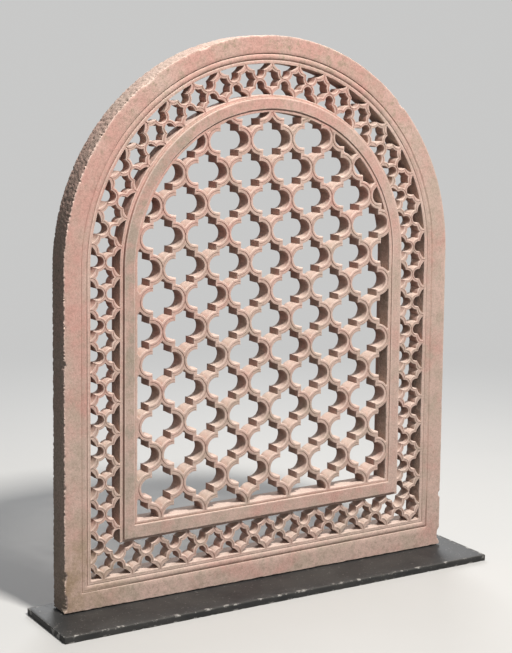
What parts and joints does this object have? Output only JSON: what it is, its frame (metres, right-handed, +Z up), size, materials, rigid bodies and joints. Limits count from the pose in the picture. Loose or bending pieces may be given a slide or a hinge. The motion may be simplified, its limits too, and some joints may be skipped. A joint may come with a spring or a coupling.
{
  "type": "jali screen",
  "caption": "Round-arched sandstone screen pierced with interlaced pointed openings, with a narrow pierced border and raised liner, standing upright on a low painted board.",
  "frame": {"origin": "centre of the board's underside", "axes": "+Z up, the carved face towards -Y, +X to the right when facing it"},
  "size_m": [1.32, 0.24, 1.496],
  "materials": {
    "sandstone": "weathered matt pale pink sandstone",
    "board": "worn matt black paint on wood",
    "pad": "dark matt",
    "dowel": "dull square bar"
  },
  "bodies": {
    "root": {"base_board": "board", "setting_pads": "pad", "base_dowels": "dowel", "frame_sill": "sandstone", "frame_jamb_right": "sandstone", "frame_jamb_left": "sandstone", "frame_arch_right": "sandstone", "frame_arch_left": "sandstone", "frame_crown": "sandstone", "foot_dowels": "dowel", "springer_dowels": "dowel", "crown_dowels": "dowel", "border_sill": "sandstone", "border_jamb_right": "sandstone", "border_jamb_left": "sandstone", "border_arch_right": "sandstone", "border_arch_left": "sandstone", "border_crown": "sandstone", "liner_sill": "sandstone", "liner_jamb_right": "sandstone", "liner_jamb_left": "sandstone", "liner_arch_right": "sandstone", "liner_arch_left": "sandstone", "field_panel_lower": "sandstone", "field_panel_middle": "sandstone", "field_panel_upper": "sandstone"}
  },
  "joints": []
}
